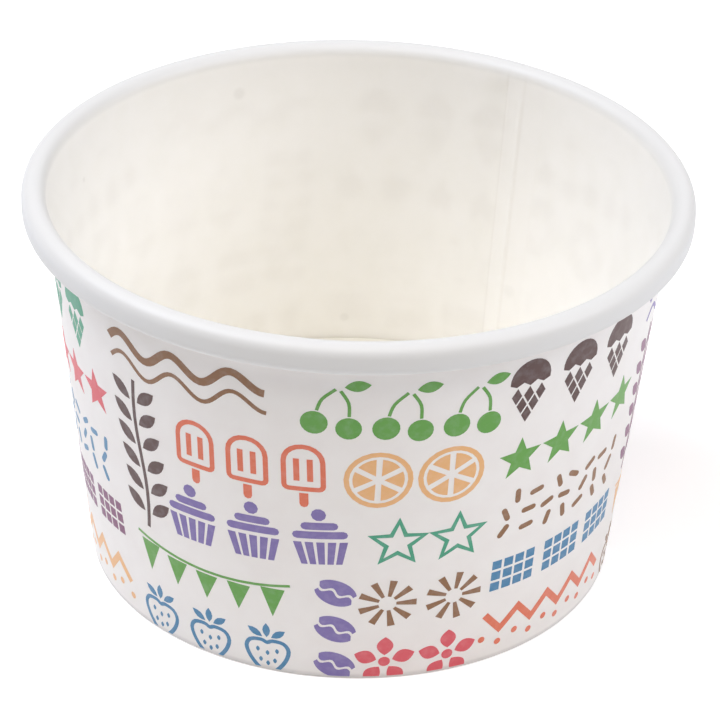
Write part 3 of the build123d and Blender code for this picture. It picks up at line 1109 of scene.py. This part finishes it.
# %% Floor and background
def seen_directly(tree):
    """Factor of 1 for rays from the camera, from a gloss or through glass, and 0 for the rest."""
    rays = add(tree, "ShaderNodeLightPath").outputs
    seen = {0: rays["Is Camera Ray"], 1: rays["Is Glossy Ray"]}
    seen = add(tree, "ShaderNodeMath", seen, operation="MAXIMUM")
    seen = {0: seen, 1: rays["Is Transmission Ray"]}
    return add(tree, "ShaderNodeMath", seen, operation="MAXIMUM")


floor_edge = 3.0
corners = ((-1, -1), (1, -1), (1, 1), (-1, 1))
floor_mesh = bpy.data.meshes.new("studio_floor")
floor_mesh.from_pydata([(x * floor_edge, y * floor_edge, 0) for x, y in corners], [], [(0, 1, 2, 3)])
studio_floor = place("studio_floor", floor_mesh)

# The glow rises away from the cup, where the lamps no longer reach the floor
glow_limits = {"From Min": 0.25, "From Max": 0.7, "To Min": 0.34, "To Max": 1.0}
paper, tree = start_material("white_backdrop_paper")
where = add(tree, "ShaderNodeTexCoord").outputs["Object"]
away = add(tree, "ShaderNodeVectorMath", {0: where}, operation="LENGTH").outputs["Value"]
strength = add(tree, "ShaderNodeMapRange", {"Value": away, **glow_limits})
matt = add(tree, "ShaderNodeBsdfDiffuse", {"Color": linear("#F8F7F6")})
glow = add(tree, "ShaderNodeEmission", {"Color": (1, 1, 1, 1), "Strength": strength})
shown = add(tree, "ShaderNodeAddShader", {0: matt, 1: glow})
surface = add(tree, "ShaderNodeMixShader", {0: seen_directly(tree), 1: matt, 2: shown})
add(tree, "ShaderNodeOutputMaterial", {"Surface": surface})
floor_mesh.materials.append(paper)

room_strength = 0.02
world = bpy.data.worlds.new("studio")
bpy.context.scene.world = world
world.use_nodes = True
tree = world.node_tree
tree.nodes.clear()
room = add(tree, "ShaderNodeBackground", {"Color": linear("#F2F4F8"), "Strength": room_strength})
white = add(tree, "ShaderNodeBackground", {"Color": (1, 1, 1, 1), "Strength": 1.0})
surface = add(tree, "ShaderNodeMixShader", {0: seen_directly(tree), 1: room, 2: white})
add(tree, "ShaderNodeOutputWorld", {"Surface": surface})
bpy.context.scene.view_settings.view_transform = "Standard"
print("floor and background white to the camera")

# %% Soft lights
lamp_size, lamp_distance = 0.6, 0.9
# Azimuth and elevation in degrees, power in watts and tint
for name, azimuth, elevation, power, tint in (
    ("left_soft_light", 180, 54, 6.3, "#E9EFFF"),
    ("right_soft_light", -12, 35, 4.75, "#F1F4FF"),
    ("front_soft_light", -90, 67, 3.5, "#FFF3E3"),
    ("left_rear_soft_light", 135, 35, 0.9, "#FFF8EC"),
):
    lamp = bpy.data.lights.new(name, "AREA")
    lamp.shape = "SQUARE"
    lamp.size = lamp_size
    lamp.energy = power
    lamp.color = linear(tint)[:3]
    turn, rise = math.radians(azimuth), math.radians(elevation)
    flat = math.cos(rise)
    out = Vector((math.cos(turn) * flat, math.sin(turn) * flat, math.sin(rise)))
    holder = place(name, lamp)
    holder.location = out * lamp_distance + Vector((0, 0, cup_height / 2 * MM))
    holder.rotation_euler = out.to_track_quat("Z", "Y").to_euler()
print("lights", len(bpy.data.lights))
